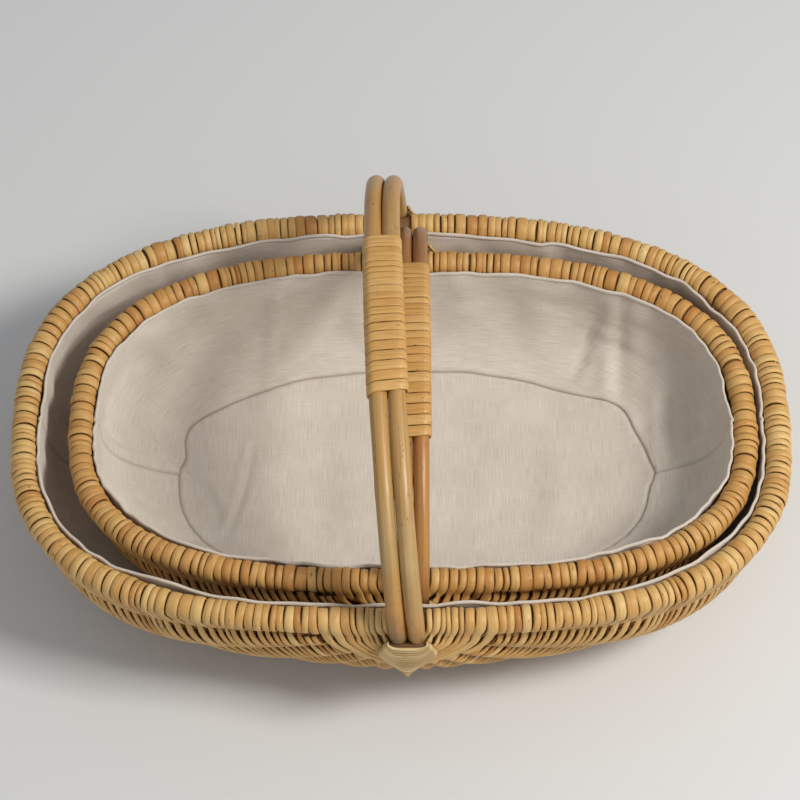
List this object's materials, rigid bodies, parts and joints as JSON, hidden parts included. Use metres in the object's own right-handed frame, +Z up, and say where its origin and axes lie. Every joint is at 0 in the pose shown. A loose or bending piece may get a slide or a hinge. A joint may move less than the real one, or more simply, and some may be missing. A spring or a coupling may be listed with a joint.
{
  "type": "nested willow basket set",
  "caption": "Oval willow baskets with linen liners and arched cane handles, a small one standing inside a large one; the small one lifts out.",
  "frame": {"origin": "centre of the base on the standing plane", "axes": "+X along the long side of the baskets, -Y towards the front crossing, +Z up"},
  "size_m": [0.5184, 0.3562, 0.2301],
  "materials": {
    "outer_wrap": "peeled willow, light satin",
    "outer_weave": "peeled willow, satin",
    "outer_cane": "peeled thick cane, satin",
    "outer_binding": "flat split cane, satin",
    "outer_rod": "bare willow rod",
    "inner_wrap": "peeled willow, honey, satin",
    "inner_weave": "peeled willow, honey",
    "inner_cane": "orange brown thick cane, satin",
    "inner_binding": "flat split cane, honey",
    "inner_rod": "bare willow rod",
    "ear_lashing": "fine split cane",
    "linen": "undyed plain weave linen, matt"
  },
  "bodies": {
    "outer_basket": {"outer_rim_hoop": "outer_rod", "outer_rim_wrap_right": "outer_wrap", "outer_rim_wrap_left": "outer_wrap", "outer_handle_cane_left": "outer_cane", "outer_handle_cane_right": "outer_cane", "outer_grip_binding": "outer_binding", "outer_keel": "outer_rod", "outer_rib_right_a": "outer_rod", "outer_rib_left_a": "outer_rod", "outer_rib_right_b": "outer_rod", "outer_rib_left_b": "outer_rod", "outer_rib_right_c": "outer_rod", "outer_rib_left_c": "outer_rod", "outer_rib_right_d": "outer_rod", "outer_rib_left_d": "outer_rod", "outer_rib_right_e": "outer_rod", "outer_rib_left_e": "outer_rod", "outer_weave_front": "outer_weave", "outer_weave_middle": "outer_weave", "outer_weave_back": "outer_weave", "outer_ear_front": "ear_lashing", "outer_ear_back": "ear_lashing", "outer_liner": "linen"},
    "inner_basket": {"inner_rim_hoop": "inner_rod", "inner_rim_wrap_right": "inner_wrap", "inner_rim_wrap_left": "inner_wrap", "inner_handle_cane_left": "inner_cane", "inner_handle_cane_right": "inner_cane", "inner_grip_binding": "inner_binding", "inner_keel": "inner_rod", "inner_rib_right_a": "inner_rod", "inner_rib_left_a": "inner_rod", "inner_rib_right_b": "inner_rod", "inner_rib_left_b": "inner_rod", "inner_rib_right_c": "inner_rod", "inner_rib_left_c": "inner_rod", "inner_rib_right_d": "inner_rod", "inner_rib_left_d": "inner_rod", "inner_rib_right_e": "inner_rod", "inner_rib_left_e": "inner_rod", "inner_weave_front": "inner_weave", "inner_weave_middle": "inner_weave", "inner_weave_back": "inner_weave", "inner_ear_front": "ear_lashing", "inner_ear_back": "ear_lashing", "inner_liner": "linen"}
  },
  "joints": [
    {"name": "inner_basket_lift", "type": "slide", "parent": "outer_basket", "child": "inner_basket", "axis": [0, 0, 1], "range_m": [0, 0.019]}
  ]
}
